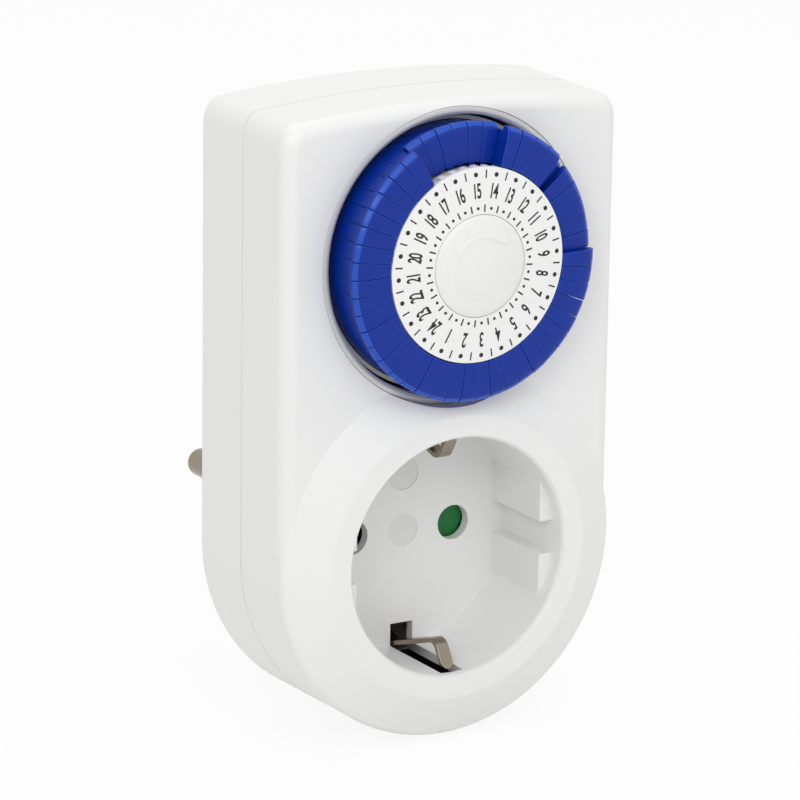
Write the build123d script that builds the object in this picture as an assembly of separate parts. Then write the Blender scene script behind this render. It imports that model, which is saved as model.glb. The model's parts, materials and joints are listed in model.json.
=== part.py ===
from build123d import *
import math
import os

# Plug-in 24 hour timer switch. Millimetres, +Z up, +Y towards the wall outlet.
# The origin lies on the plug axis, midway between the pins, on the end face of the plug boss.

# --- plug and socket system ---
pin_pitch = 19.0
pin_d = 4.8
pin_len = 19.1
pin_nose = 1.3
pin_root_d = 3.6
pin_root_len = 12.6
boss_r = 18.6
boss_depth = 22.0
boss_end_wall = 2.5
boss_flat_depth = 2.1
boss_guide_w = 5.6
boss_guide_depth = 1.2
boss_groove_wall = 1.5
boss_edge = 0.5
spigot_t = 0.9
spigot_lip = 0.2

# --- socket ---
recess_gap = 0.9
recess_edge = 0.5
recess_depth = 17.5
cup_wall = 1.6
floor_t = 1.8
bezel_lip_w = 3.3
bezel_rise = 3.3
pin_hole_d = 5.8
key_gap = 0.5
key_notch_w = 5.4
key_drop = 3.1
slot_w = 4.2
slot_in = 3.85
slot_out = 2.0
slot_drop = 1.7
slot_wall = 1.5

# --- housing ---
body_margin = 9.75
crown_margin = 1.63
crown_r = 231.0
corner_r = 3.9
body_depth = 25.7
draft_deg = 1.0
wall = 2.2
face_wall = 2.0
back_wall = 2.0
seam_depth = 12.8
seam_groove = 0.3
groove_depth = 0.75
front_round = 2.5
back_round = 0.4
bezel_inset = 0.33
bezel_skirt = 2.0
tongue_t = 1.0
tongue_len = 1.4
fit_gap = 0.15

# --- shutter behind the socket floor ---
shutter_t = 1.2
shutter_play = 0.2
shutter_gap = 0.35
shutter_travel = 5.9
shutter_half_h = 4.6
shutter_rail = 1.3
shutter_overlap = 2.8
shutter_land = 3.3
shutter_frame_t = 1.2
cover_t = 1.0

# --- earth contacts ---
clip_t = 0.8
clip_w = 3.6
clip_tip_drop = 2.6
clip_bend_drop = 5.5
clip_reach = 4.9
strap_gap = 1.5
plug_clip_w = 4.4
plug_clip_t = 0.8

# --- dial ---
dial_z = 48.4
dial_stand = 7.1
label_r = 15.55
label_rise = 0.55
label_t = 0.4
cap_r = 8.1
cap_dome = 1.1
cap_edge = 0.35
arrow_h = 0.25
tab_count = 48
tab_start_deg = -30.74
tab_gap_deg = 0.36
tab_gap = 0.2
tab_face_w = 5.65
tab_bevel = 0.6
tab_bevel_h = 0.8
tab_lip_h = 1.8
tab_step = 0.8
tab_h = 10.3
tab_travel = 2.9
tab_half = 1.4
leg_inset = 1.75
leg_t = 1.8
leg_w = 1.5
leg_len = 4.2
tooth_w = 0.9
tooth_gap = 0.1
rib_w = 0.8
guide_gap = 0.15
deck_overhang = 0.65
deck_rim_t = 0.8
drum_wall = 1.2
drum_floor_t = 1.5
drum_rim_t = 0.6
drum_rim_h = 3.0
deck_t = 1.2
hub_r = 3.6
axle_d = 4.0
run_gap = 0.05
ring_play = 0.25
ring_w = 1.45
ring_t = 1.5
ring_gap = 0.15
collar_wall = 1.35
collar_depth = 3.7

# --- gear train ---
gear_m = 0.4
dial_teeth = 76
pinion_teeth = 10
wheel_teeth = 40
gear_drop = 3.0
dial_gear_t = 1.1
clutch_room = 1.7
wheel_t = 0.8
wheel_gap = 0.2
pinion_sleeve_r = 1.15
pinion_angle = 315.0
motor_pinion_angle = 161.6
arbor_d = 1.5
lightening_r = 2.6
lightening_pitch_r = 9.0

# --- chassis and motor ---
plate_t = 1.5
plate_side_gap = 2.65
plate_low_gap = 1.0
plate_rise = 14.1
plate_corner = 3.0
pillar_inset = 3.4
pillar_foot = 3.2
pillar_r = 2.3
motor_x = -8.0
motor_drop = 3.4
motor_r = 15.0
motor_can_t = 0.8
motor_end_gap = 0.3
pole_plate_t = 1.0
gearbox_r = 7.2
gearbox_t = 2.3
rotor_r = 4.9
bobbin_r0 = 7.5
bobbin_gap = 0.3
bobbin_flange = 0.6

# --- switch ---
plunger_x = 6.0
plunger_w = 2.6
plunger_play = 0.15
plunger_gap = 0.4
plunger_reach = 2.2
leaf_gap = 0.3
leaf_t = 0.4
leaf_w = 3.4
leaf_foot = 0.6
contact_rise = 2.2
contact_r = 1.2
contact_h = 0.75
contact_gap = 0.05
bar_t = 0.8
tag_t = 1.0
tulip_r = 3.0
tulip_gap = 0.3
tulip_base_gap = 3.1
tulip_base_t = 0.8
bar_gap = 0.25

# --- screws ---
post_inset = 4.75
post_drop = 7.33
post_r = 2.9
back_post_r = 3.5
post_overlap = 1.8
screw_head_r = 2.6
screw_head_h = 1.8
screw_r = 1.2
screw_sink = 5.0
screw_len = 14.0
small_head_r = 1.9
small_head_h = 0.8
small_screw_r = 0.9
small_screw_len = 5.0

# --- derived places ---
recess_r = boss_r + recess_gap
boss_flat_x = boss_r - boss_flat_depth
key_x = boss_flat_x + key_gap
back_y = -boss_depth
seam_y = back_y - seam_depth
face_y = back_y - body_depth
rim_y = face_y - bezel_rise
floor_y = rim_y + recess_depth
floor_back = floor_y + floor_t
inner_front = face_y + face_wall
inner_back = back_y - back_wall
spigot_len = back_wall + spigot_lip
cup_r = recess_r + cup_wall
body_r = cup_r + body_margin
bezel_foot_r = body_r - bezel_inset
bezel_flat_r = recess_r + recess_edge + bezel_lip_w
slot_r0 = recess_r - slot_in
slot_r1 = recess_r + slot_out
ear_h = slot_r1 + slot_wall
pin_x = pin_pitch / 2
boss_hollow_r = pin_x + tulip_r + 1.7
cover_back = floor_back + shutter_gap + shutter_t + shutter_play + cover_t
strap_y = cover_back + strap_gap
plug_leg_z = boss_hollow_r + boss_groove_wall + plug_clip_t / 2 + 0.1
label_y = face_y - dial_stand
dial_axis = Axis((0, 0, dial_z), (0, 1, 0))
socket_axis = Axis((0, 0, 0), (0, 1, 0))
tab_pitch = 360 / tab_count
tab_r0 = label_r + tab_gap
tab_face_r = tab_r0 + tab_face_w
tab_lip_r = tab_face_r + tab_bevel
tab_wall_r = tab_lip_r - tab_step
leg_r0 = tab_r0 + leg_inset
leg_r1 = leg_r0 + leg_t
tooth_r1 = tab_r0 - tooth_gap
drum_r = label_r - deck_overhang
drum_rim_r = tab_lip_r - 0.1
ring_inner_r = tab_lip_r + ring_play
ring_r = ring_inner_r + ring_w
body_top = dial_z + ring_r + crown_margin
well_r = ring_inner_r + ring_gap
tab_end_y = label_y + tab_h
drum_floor_y = tab_end_y + tab_travel + 0.1
drum_back_y = drum_floor_y + drum_floor_t
gear_y = drum_back_y + gear_drop
gear_back = gear_y + dial_gear_t
plate_y = gear_back + clutch_room
plate_back = plate_y + plate_t
plate_half_w = body_r - wall - plate_side_gap
plate_low = ear_h + plate_low_gap
plate_high = dial_z + plate_rise
motor_z = dial_z - motor_drop
motor_front = plate_back + pole_plate_t
motor_back = inner_back - motor_end_gap
bobbin_r1 = motor_r - motor_can_t - bobbin_gap
post_split = seam_y + post_overlap
plunger_tip = tab_end_y + tab_travel + leg_len + plunger_gap
plunger_end = plate_back + plunger_reach
leaf_y = plunger_end + leaf_gap
leaf_root_z = plate_low + leaf_foot
tulip_mouth = cover_back + tulip_gap
tulip_base = -pin_root_len - tag_t - tulip_base_gap


def face_plane(y):
    # Drawing plane seen from the front: x to the right, y up, extrusions grow towards the user.
    return Plane(origin=(0, y, 0), x_dir=(1, 0, 0), z_dir=(0, -1, 0))


def prism(sketch, y_from, y_to):
    # Prism of a front-view sketch between two depths, y_from being the deeper one.
    return extrude(face_plane(y_from) * sketch, amount=y_from - y_to)


def rod(x, z, r, y_from, y_to):
    return prism(Pos(x, z) * Circle(r), y_from, y_to)


def turned(points, z, arc=360):
    # Body of revolution about a fore-and-aft axis at height z; points are (radius, y).
    profile = Pos(0, 0, z) * make_face(Polyline(*points, close=True))
    return revolve(profile, Axis((0, 0, z), (0, 1, 0)), revolution_arc=arc)


def clockwise(part, degrees, z=None):
    # Turns a part about the dial axis, clockwise as the user sees it.
    level = dial_z if z is None else z
    return Pos(0, 0, level) * Rot(0, degrees, 0) * Pos(0, 0, -level) * part


def on_circle(radius, degrees, x=0.0, z=0.0):
    # Point on a circle, the angle measured clockwise from straight up.
    a = math.radians(degrees)
    return x + radius * math.sin(a), z + radius * math.cos(a)


def outline(inset=0.0):
    # Front view of the housing: half round below, upright sides, slightly arched top.
    r = body_r - inset
    top = body_top - inset
    arch = crown_r - inset
    side_top = top - arch + math.sqrt(arch * arch - r * r)
    base = ThreePointArc((-r, 0), (0, -r), (r, 0))
    right = Line((r, 0), (r, side_top))
    crown = ThreePointArc((r, side_top), (0, top), (-r, side_top))
    left = Line((-r, side_top), (-r, 0))
    shape = make_face([base, right, crown, left])
    corners = shape.vertices().filter_by(lambda v: v.Y > 1)
    return fillet(corners, max(corner_r - inset, 0.6))


def housing_block():
    block = extrude(face_plane(back_y) * outline(), amount=body_depth, taper=draft_deg)
    front = block.faces().sort_by(Axis.Y)[0]
    back = block.faces().sort_by(Axis.Y)[-1]
    block = fillet(front.edges(), front_round)
    back = block.faces().sort_by(Axis.Y)[-1]
    return fillet(back.edges(), back_round)


def housing_cavity():
    depth = body_depth - face_wall - back_wall
    return extrude(face_plane(inner_back) * outline(wall), amount=depth, taper=draft_deg)


def slab(y_from, y_to):
    size = 4 * (body_top + body_r)
    return Pos(0, (y_from + y_to) / 2, 0) * Box(size, abs(y_from - y_to), size)


def both_ends(sketch):
    # The socket's features at the top are the mirror image of those at the bottom.
    return sketch + mirror(sketch, about=Plane.XZ)


def housing_posts():
    low = (body_r - wall - back_post_r - fit_gap) * math.sqrt(0.5)
    x = body_r - post_inset - wall
    z = body_top - post_drop
    return [(-x, z), (x, z), (-low, -low), (low, -low)]


def bezel():
    # Turned funnel rim round the socket, with a flat lip and a sloping flank.
    skirt = seam_y - bezel_skirt
    flank = [(bezel_flat_r, rim_y), (bezel_foot_r, face_y)]
    return turned([(0, rim_y), flank[0], flank[1], (bezel_foot_r, skirt), (0, skirt)], 0)


def socket_cup():
    cup = rod(0, 0, cup_r, floor_back, face_y + 0.5)
    ear = Pos(0, ear_h / 2) * Rectangle(slot_w + 2 * slot_wall, ear_h)
    return cup + prism(both_ends(ear), floor_back, face_y + 0.5)


def recess_cut():
    edge_r = recess_r + recess_edge
    pts = [(0, rim_y - 1), (edge_r, rim_y - 1), (edge_r, rim_y)]
    pts += [(recess_r, rim_y + recess_edge), (recess_r, floor_y), (0, floor_y)]
    return turned(pts, 0)


def key_blocks():
    # Side blocks that let the plug in only one of its two ways round, each with a notch.
    ring = Circle(recess_r + 0.3) - Rectangle(2 * key_x, 2 * recess_r)
    blocks = ring - Rectangle(4 * recess_r, key_notch_w)
    return prism(blocks, floor_y + 0.4, rim_y + key_drop)


def slot_cut():
    # The channels for the earth clips: a slot through the floor and a groove up the wall.
    mid = (slot_r0 + slot_r1) / 2
    hole = both_ends(Pos(0, mid) * Rectangle(slot_w, slot_r1 - slot_r0))
    return prism(hole, floor_back + 1, rim_y + slot_drop)


def shutter_window():
    right = pin_x + shutter_overlap + 2 * shutter_play
    left = shutter_left() - shutter_travel - 2 * shutter_play
    return left, right


def shutter_left():
    # Left edge of the shutter: past the left pin hole.
    return -pin_x - pin_hole_d / 2 - 3 * shutter_play


def shutter_frame():
    # Low wall behind the socket floor in which the shutter slides.
    left, right = shutter_window()
    w = right - left
    h = 2 * (shutter_half_h + shutter_play)
    inner = Rectangle(w, h)
    outer = Rectangle(w + 2 * shutter_frame_t, h + 2 * shutter_frame_t)
    frame = Pos((left + right) / 2, 0) * (outer - inner)
    return prism(frame, cover_back - cover_t, floor_back - 0.2)


def front_shell():
    block = housing_block()
    shell = block & slab(seam_y, face_y - 1)
    shell = shell + bezel()
    shell = shell - housing_cavity()
    shell = shell + socket_cup()
    collar = rod(0, dial_z, ring_r + collar_wall, face_y + collar_depth, face_y + 0.5)
    shell = shell + (collar & block)
    shell = shell - recess_cut()
    shell = shell + key_blocks()
    shell = shell - slot_cut()
    for side in (-1, 1):
        shell = shell - rod(side * pin_x, 0, pin_hole_d / 2, floor_back + 1, floor_y - 1)
    shell = shell - rod(0, dial_z, ring_r + ring_gap, face_y + ring_t, rim_y - 3)
    shell = shell - rod(0, dial_z, well_r, face_y + collar_depth + 1, rim_y - 3)
    for x, z in housing_posts():
        shell = shell + rod(x, z, post_r, post_split, inner_front - 0.5)
        shell = shell - rod(x, z, screw_r + run_gap, post_split + 1, back_y - screw_sink - screw_len - 1)
    shell = shell + shutter_frame()
    return shell + seam_tongue()


def seam_tongue():
    # Lip of the front shell that locates inside the back shell.
    inset = wall + fit_gap
    lean = seam_depth * math.tan(math.radians(draft_deg))
    outer = outline(inset + lean)
    inner = outline(inset + lean + tongue_t)
    root = outline(wall + lean - 0.4)
    lip = prism(outer - inner, seam_y + tongue_len, seam_y - 0.01)
    heel = prism(root - inner, seam_y - 0.01, seam_y - 1.6)
    both = lip + heel
    for x, z in housing_posts():
        both = both - rod(x, z, back_post_r + 0.3, seam_y + tongue_len + 1, seam_y)
    return both


def plug_boss():
    round_part = Circle(boss_r)
    flats = round_part & Rectangle(2 * boss_flat_x, 4 * boss_r)
    guide_x = boss_flat_x - boss_guide_depth / 2
    for side in (-1, 1):
        flats = flats - Pos(side * guide_x, 0) * Rectangle(boss_guide_depth, boss_guide_w)
    groove_z = boss_hollow_r + boss_groove_wall
    groove = Pos(0, groove_z + boss_r / 2) * Rectangle(plug_clip_w + 1.0, boss_r)
    boss = prism(flats - both_ends(groove), 0, back_y)
    tip_edges = boss.faces().sort_by(Axis.Y)[-1].edges()
    boss = chamfer(tip_edges, boss_edge)
    boss = boss + rod(0, 0, boss_hollow_r + spigot_t, back_y + 0.5, back_y - spigot_len)
    boss = boss - rod(0, 0, boss_hollow_r, -boss_end_wall, back_y - spigot_len - 1)
    passage = Rectangle(plug_clip_w + 1.0, 4 * boss_r)
    boss = boss - prism(passage, back_y - back_wall / 2, back_y - spigot_len - 1)
    for side in (-1, 1):
        boss = boss - rod(side * pin_x, 0, pin_root_d / 2 + run_gap, 1, -boss_end_wall - 1)
    return boss


def back_shell():
    shell = housing_block() & slab(back_y + 1, seam_y)
    shell = shell - housing_cavity()
    shadow_line = prism(outline() - outline(groove_depth), seam_y + seam_groove, seam_y - 0.5)
    shell = shell - shadow_line
    shell = shell - rod(0, 0, boss_hollow_r + spigot_t + run_gap, back_y + 1, inner_back - 1)
    slit = Pos(0, plug_leg_z) * Rectangle(plug_clip_w + 0.4, plug_clip_t + 0.4)
    shell = shell - prism(both_ends(slit), back_y + 1, inner_back - 1)
    for x, z in housing_posts():
        shell = shell + rod(x, z, back_post_r, back_y - 0.5, post_split)
        shell = shell - rod(x, z, screw_head_r + 0.3, back_y + 1, back_y - screw_sink)
        shell = shell - rod(x, z, screw_r + 0.4, back_y + 1, post_split - 1)
    for x, z in pillars():
        shell = shell + rod(x, z, pillar_r, back_y - 0.5, plate_back)
        shell = shell - rod(x, z, small_screw_r + run_gap, plate_y + small_screw_len + 0.5, plate_back - 1)
    return shell


def pillars():
    x = plate_half_w - pillar_inset
    levels = (plate_low + pillar_foot, plate_high - pillar_foot)
    return [(side * x, z) for side in (-1, 1) for z in levels]


def plug_pins():
    pins = []
    for side in (-1, 1):
        tip = pin_d / 2
        nose_r = (tip * tip + pin_nose * pin_nose) / (2 * pin_nose)
        shoulder_y = pin_len - pin_nose
        half = math.asin(tip / nose_r) / 2
        middle = (nose_r * math.sin(half), pin_len - nose_r + nose_r * math.cos(half))
        shank = [(0, -pin_root_len), (pin_root_d / 2, -pin_root_len), (pin_root_d / 2, 0)]
        edge = Polyline(*shank, (tip, 0), (tip, shoulder_y))
        nose = ThreePointArc((tip, shoulder_y), middle, (0, pin_len))
        axis_line = Line((0, pin_len), (0, -pin_root_len))
        profile = make_face([*edge.edges(), nose, axis_line])
        pins.append(Pos(side * pin_x, 0, 0) * revolve(profile, socket_axis))
    return pins


def strip(points, radii, thickness, width, x=0.0):
    # Bent metal strip: its centre line in the (y, z) plane, thickened and given a width in x.
    path = FilletPolyline(*points, radius=radii) if radii else Polyline(*points)
    flat = path.offset_2d(thickness / 2, side=Side.BOTH, closed=True)
    face = make_face(flat)
    placed = Plane(origin=(x, 0, 0), x_dir=(0, 1, 0), z_dir=(1, 0, 0)) * face
    return extrude(placed, amount=width / 2, both=True)


def earth_bow():
    # One nickel-plated strip: two sprung clips in the socket joined by a strap behind the floor.
    tip_y = rim_y + clip_tip_drop
    bend_y = rim_y + clip_bend_drop
    foot_y = floor_back + strap_gap
    foot_z = recess_r + 0.1
    upper = [(tip_y, recess_r - 0.2), (bend_y, recess_r - clip_reach), (foot_y, foot_z)]
    upper.append((strap_y, foot_z - 0.6))
    lower = [(y, -z) for y, z in reversed(upper)]
    return strip(upper + lower, [1.0, 1.2, 0.8, 0.8, 1.2, 1.0], clip_t, clip_w)


def plug_earth_clips():
    # Bracket lying on the earth strap; its legs run out along the grooves of the plug boss.
    y_strap = strap_y + clip_t / 2 + plug_clip_t / 2
    bulge_z = boss_r - plug_clip_t / 2 - 0.1
    upper = [(-3.5, plug_leg_z), (-9.0, bulge_z), (-17.0, bulge_z), (back_y + 0.8, plug_leg_z)]
    upper.append((y_strap, plug_leg_z))
    lower = [(y, -z) for y, z in reversed(upper)]
    return strip(upper + lower, [1.5, 1.5, 1.0, 0.5, 0.5, 1.0, 1.5, 1.5], plug_clip_t, plug_clip_w)


def shutter():
    # Plate with a wide land behind one pin hole and a narrow one behind the other;
    # rails above and below join them.
    right = pin_x + shutter_overlap
    left = shutter_left()
    land_w = pin_hole_d - 2 * shutter_play
    h = 2 * shutter_half_h
    plate = Pos((left + right) / 2, 0) * Rectangle(right - left, h)
    window_l = left + shutter_land
    window_r = right - land_w
    inner_h = h - 2 * shutter_rail
    plate = plate - Pos((window_l + window_r) / 2, 0) * Rectangle(window_r - window_l, inner_h)
    notch = Pos(right, -pin_hole_d / 2 + 0.9) * Rectangle(0.9, 1.8)
    plate = plate - notch
    front = floor_back + shutter_gap
    return prism(plate, front + shutter_t, front)


def shutter_cover():
    left, right = shutter_window()
    h = 2 * (shutter_half_h + shutter_play + shutter_frame_t)
    w = right - left + 2 * shutter_frame_t
    plate = Pos((left + right) / 2, 0) * Rectangle(w, h)
    for side in (-1, 1):
        plate = plate - Pos(side * pin_x, 0) * Circle(pin_hole_d / 2 + 0.3)
    return prism(plate, cover_back, cover_back - cover_t)


def shutter_spring():
    # Flat return spring between the left end of the shutter and its frame.
    left, _ = shutter_window()
    gap_l = left + 0.1
    gap_r = shutter_left() - 0.1
    n = 4
    step = (gap_r - gap_l - 0.3) / n
    pts = []
    for i in range(n + 1):
        side = 1 if i % 2 else -1
        pts.append((gap_l + 0.15 + i * step, side * shutter_half_h * 0.48))
    line = FilletPolyline(*pts, radius=[0.5] * (n - 1))
    wave = make_face(line.offset_2d(0.125, side=Side.BOTH, closed=True))
    front = floor_back + shutter_gap
    return prism(wave, front + shutter_t - 0.2, front + 0.1)


def tab_profile():
    y0 = label_y
    pts = [(tab_r0, y0), (tab_face_r, y0), (tab_lip_r, y0 + tab_bevel_h)]
    pts += [(tab_lip_r, y0 + tab_lip_h), (tab_wall_r, y0 + tab_lip_h + 0.3)]
    return pts + [(tab_wall_r, tab_end_y), (tab_r0, tab_end_y)]


def plain_tab():
    # One switching tab at its raised place, its middle at three o'clock.
    sweep_deg = tab_pitch - tab_gap_deg
    body = turned(tab_profile(), dial_z, sweep_deg)
    body = clockwise(body, -sweep_deg / 2)
    rib_r0 = drum_r + guide_gap
    rib_r1 = tab_r0 + 0.4
    rib_y = label_y + label_t + deck_rim_t + 0.2
    rib = Box(rib_r1 - rib_r0, tab_end_y - rib_y, rib_w)
    body = body + Pos((rib_r0 + rib_r1) / 2, (rib_y + tab_end_y) / 2, dial_z) * rib
    leg = Box(leg_r1 - leg_r0, leg_len, leg_w)
    return body + Pos((leg_r0 + leg_r1) / 2, tab_end_y + leg_len / 2, dial_z) * leg


def tab_levels():
    # Rows of neighbouring tabs that move together, each with how far it is pushed in.
    rows = [(0, 2, tab_travel), (2, 2, tab_travel), (4, 2, tab_travel), (6, 2, 0.0), (8, 2, 0.0)]
    rows += [(10, 1, tab_travel), (11, 1, tab_half), (12, 2, tab_half), (14, 2, tab_half)]
    return rows + [(first, 2, 0.0) for first in range(16, tab_count, 2)]


def tab_group(first, count, pressed):
    master = plain_tab()
    out = []
    for i in range(first, first + count):
        middle = tab_start_deg + tab_pitch * (i + 0.5)
        out.append(Pos(0, pressed, 0) * clockwise(master, middle - 90))
    return out


def dial_carrier():
    # Turned drum: deck under the label, inner wall, slotted floor with rim, hub on the axle.
    bore = axle_d / 2 + run_gap
    deck_y = label_y + label_t
    rise = label_rise
    pts = [(bore, deck_y - rise), (cap_r, deck_y - rise), (label_r, deck_y)]
    rim_in = drum_rim_r - drum_rim_t
    pts += [(label_r, deck_y + deck_rim_t), (drum_r, deck_y + deck_rim_t)]
    pts += [(drum_r, drum_floor_y), (rim_in, drum_floor_y)]
    rim_y0 = drum_floor_y - drum_rim_h
    pts += [(rim_in, rim_y0), (drum_rim_r, rim_y0), (drum_rim_r, drum_back_y)]
    inner_r = drum_r - drum_wall
    under = deck_y + deck_t
    pts += [(inner_r, drum_back_y), (inner_r, under), (hub_r, under - rise)]
    pts += [(hub_r, drum_back_y), (bore, drum_back_y)]
    drum = turned(pts, dial_z)
    tooth_len = drum_floor_y - deck_y - 0.1
    tooth = Box(tooth_r1 - drum_r + 0.4, tooth_len, tooth_w)
    tooth_x = (tooth_r1 + drum_r - 0.4) / 2
    window = Box(leg_r1 - leg_r0 + 2 * guide_gap, drum_floor_t + 2, leg_w + 2 * guide_gap)
    teeth = []
    windows = []
    for i in range(tab_count):
        turn = tab_start_deg + tab_pitch * (i + 0.5) - 90
        tooth_turn = turn - tab_pitch / 2
        tooth_place = Pos(tooth_x, drum_floor_y - tooth_len / 2, dial_z)
        teeth.append(clockwise(tooth_place * tooth, tooth_turn))
        place = Pos((leg_r0 + leg_r1) / 2, drum_floor_y + drum_floor_t / 2, dial_z)
        windows.append(clockwise(place * window, turn))
    drum = drum + teeth
    return drum - windows


def dial_face():
    deck_y = label_y
    pts = [(cap_r + 0.1, deck_y - label_rise), (label_r, deck_y)]
    pts += [(label_r, deck_y + label_t), (cap_r + 0.1, deck_y - label_rise + label_t)]
    return turned(pts, dial_z)


def centre_cap():
    # Slightly domed setting knob with a raised curved arrow.
    seat = label_y + label_t - label_rise
    edge_y = label_y - label_rise - cap_edge
    top_y = edge_y - cap_dome
    arc = ThreePointArc((0, top_y), (cap_r * 0.55, top_y + cap_dome * 0.28), (cap_r - 0.4, edge_y))
    side = Polyline((cap_r - 0.4, edge_y), (cap_r, edge_y + cap_edge), (cap_r, seat), (0, seat))
    axis_line = Line((0, seat), (0, top_y))
    profile = Pos(0, 0, dial_z) * make_face([arc, *side.edges(), axis_line])
    dome = revolve(profile, dial_axis)
    return dome + arrow_relief(dome, top_y)


def arrow_relief(dome, top_y):
    # The arrow stands a little above the dome: its outline cut from a shifted copy of it.
    r = cap_r * 0.66
    half = 0.75
    start, stop = -75.0, 62.0
    band = Circle(r + half) - Circle(r - half)
    far = 3 * cap_r
    a = on_circle(far, start)
    b = on_circle(far, (start + stop) / 2)
    c = on_circle(far, stop)
    wedge = make_face(Polyline((0, 0), a, b, c, close=True))
    head_base = on_circle(r - 2.0, stop)
    head_out = on_circle(r + 2.0, stop)
    head_tip = on_circle(r, stop + math.degrees(3 / r))
    head = make_face(Polyline(head_base, head_out, head_tip, close=True))
    shape = Pos(0, dial_z) * ((band & wedge) + head)
    return prism(shape, top_y + cap_dome + 0.2, top_y - 1) & (Pos(0, -arrow_h, 0) * dome)


def involute(angle):
    return math.tan(angle) - angle


def gear_outline(teeth, fine):
    pressure = math.radians(20)
    pitch_r = gear_m * teeth / 2
    tip_r = pitch_r + 0.75 * gear_m
    root_r = pitch_r - 1.15 * gear_m
    base_r = pitch_r * math.cos(pressure)
    half = math.pi / 2 / teeth * 0.84
    radii = [root_r, pitch_r, tip_r] if fine else [root_r, tip_r]
    flank = []
    for r in radii:
        spread = involute(math.acos(min(1.0, base_r / r)))
        flank.append((r, half + involute(pressure) - spread))
    pts = []
    for i in range(teeth):
        centre = 2 * math.pi * i / teeth
        for r, a in flank:
            pts.append((r * math.cos(centre - a), r * math.sin(centre - a)))
        for r, a in reversed(flank):
            pts.append((r * math.cos(centre + a), r * math.sin(centre + a)))
    return make_face(Polyline(*pts, close=True))


def pitch_radius(teeth):
    return gear_m * teeth / 2


def pinion_place():
    return on_circle(pitch_radius(dial_teeth) + pitch_radius(pinion_teeth), pinion_angle, 0, dial_z)


def motor_pinion_place():
    x, z = pinion_place()
    return on_circle(pitch_radius(wheel_teeth) + pitch_radius(pinion_teeth), motor_pinion_angle, x, z)


def mesh_turn(teeth, towards_deg, tooth):
    # Angle that puts a tooth, or a gap, of a gear on the line to its partner.
    aim = 90 - towards_deg
    step = 360 / teeth
    offset = 0 if tooth else step / 2
    return aim + offset


def dial_gear():
    # Toothed wheel behind the drum, pressed on a sleeve that turns on the axle.
    turn = mesh_turn(dial_teeth, pinion_angle, True)
    wheel = Pos(0, dial_z) * (Rot(0, 0, turn) * gear_outline(dial_teeth, False))
    bore = axle_d / 2 + run_gap
    gear = prism(wheel - Pos(0, dial_z) * Circle(bore), gear_back, gear_y)
    sleeve = prism(Pos(0, dial_z) * (Circle(hub_r) - Circle(bore)), gear_y, drum_back_y)
    foot = prism(Pos(0, dial_z) * (Circle(axle_d / 2 + 1) - Circle(bore)), plate_y - wheel_gap, gear_back)
    cuts = []
    for i in range(6):
        x, z = on_circle(lightening_pitch_r, 60 * i, 0, dial_z)
        cuts.append(rod(x, z, lightening_r, gear_back + 1, gear_y - 1))
    return gear + sleeve + foot - cuts


def dial_axle():
    # Shouldered pin riveted into the chassis plate.
    top = label_y + 1.5
    pts = [(0, top), (axle_d / 2 - 0.4, top), (axle_d / 2, top + 0.4)]
    pts += [(axle_d / 2, plate_back), (0, plate_back)]
    return turned(pts, dial_z)


def setting_pinion():
    x, z = pinion_place()
    step = mesh_turn(pinion_teeth, pinion_angle + 180, False)
    shape = Pos(x, z) * (Rot(0, 0, step) * gear_outline(pinion_teeth, True))
    teeth = prism(shape, gear_back, gear_y - 0.1)
    sleeve = rod(x, z, pinion_sleeve_r, plate_y - wheel_gap, gear_back)
    return teeth + sleeve - rod(x, z, arbor_d / 2 + run_gap, plate_y + 1, gear_y - 1)


def clutch_spring():
    # Dished washer that presses the transfer wheel and lets the dial slip when set by hand.
    x, z = pinion_place()
    a = gear_back + fit_gap
    b = plate_y - wheel_gap - wheel_t
    r = pinion_sleeve_r + 0.1
    pts = [(r, a), (r, a + 0.2), (r + 1.75, b), (r + 2.15, b), (r + 2.15, b - 0.2), (r + 1.65, b - 0.2)]
    profile = make_face(Polyline(*pts, close=True))
    return revolve(Pos(x, 0, z) * profile, Axis((x, 0, z), (0, 1, 0)))


def transfer_wheel():
    x, z = pinion_place()
    toward = motor_pinion_angle
    turn = mesh_turn(wheel_teeth, toward, True)
    shape = Pos(x, z) * (Rot(0, 0, turn) * gear_outline(wheel_teeth, False))
    wheel = prism(shape, plate_y - wheel_gap, plate_y - wheel_gap - wheel_t)
    return wheel - rod(x, z, pinion_sleeve_r + run_gap, plate_y + 1, gear_back)


def transfer_arbor():
    x, z = pinion_place()
    return rod(x, z, arbor_d / 2, plate_back, gear_y - 0.1)


def motor_pinion():
    x, z = motor_pinion_place()
    turn = mesh_turn(pinion_teeth, motor_pinion_angle + 180, False)
    shape = Pos(x, z) * (Rot(0, 0, turn) * gear_outline(pinion_teeth, True))
    teeth = prism(shape, plate_y - wheel_gap, plate_y - wheel_gap - wheel_t - 0.1)
    return teeth + rod(x, z, arbor_d / 2 - 0.1, motor_front + gearbox_t / 2, plate_y - wheel_gap)


def chassis_plate():
    w = 2 * plate_half_w
    h = plate_high - plate_low
    shape = Pos(0, (plate_high + plate_low) / 2) * RectangleRounded(w, h, plate_corner)
    plate = prism(shape, plate_back, plate_y)
    plate = plate - rod(0, dial_z, axle_d / 2, plate_back + 1, plate_y - 1)
    x, z = pinion_place()
    plate = plate - rod(x, z, arbor_d / 2, plate_back + 1, plate_y - 1)
    x, z = motor_pinion_place()
    plate = plate - rod(x, z, 2.6, plate_back + 1, plate_y - 1)
    hole_w = plunger_w + 2 * plunger_play
    opening = Pos(plunger_x, plunger_z()) * Rectangle(hole_w, hole_w)
    plate = plate - prism(opening, plate_back + 1, plate_y - 1)
    for px, pz in pillars():
        plate = plate - rod(px, pz, small_screw_r + 0.15, plate_back + 1, plate_y - 1)
    return plate


def plunger_z():
    r = (leg_r0 + leg_r1) / 2
    return dial_z - math.sqrt(r * r - plunger_x * plunger_x)


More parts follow.
